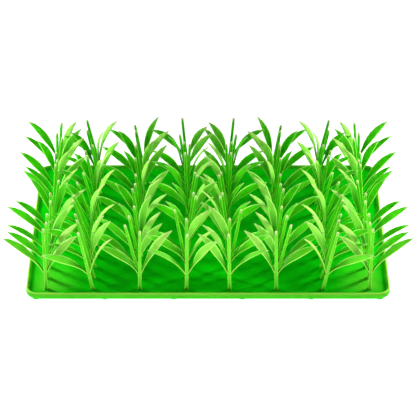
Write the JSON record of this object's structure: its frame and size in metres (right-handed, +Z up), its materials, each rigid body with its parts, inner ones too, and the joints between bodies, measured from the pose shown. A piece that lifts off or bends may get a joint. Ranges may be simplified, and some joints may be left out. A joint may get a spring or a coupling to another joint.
{
  "type": "lick mat",
  "caption": "Shallow rectangular lick mat of soft green silicone, a low-rimmed tray on small feet planted with columns of upright grass sprigs that slow a pet's eating.",
  "frame": {"origin": "under the middle of the tray, on the surface that the feet stand on", "axes": "+X to the right along the long side, +Y from the front to the back, +Z up"},
  "size_m": [0.2468, 0.15, 0.0481],
  "materials": {
    "silicone_tray": "satin",
    "silicone_grass": "satin"
  },
  "bodies": {
    "root": {"tray": "silicone_tray", "grass_left_1": "silicone_grass", "grass_left_2": "silicone_grass", "grass_left_3": "silicone_grass", "grass_left_4": "silicone_grass", "grass_right_1": "silicone_grass", "grass_right_2": "silicone_grass", "grass_right_3": "silicone_grass", "grass_right_4": "silicone_grass"}
  },
  "joints": []
}
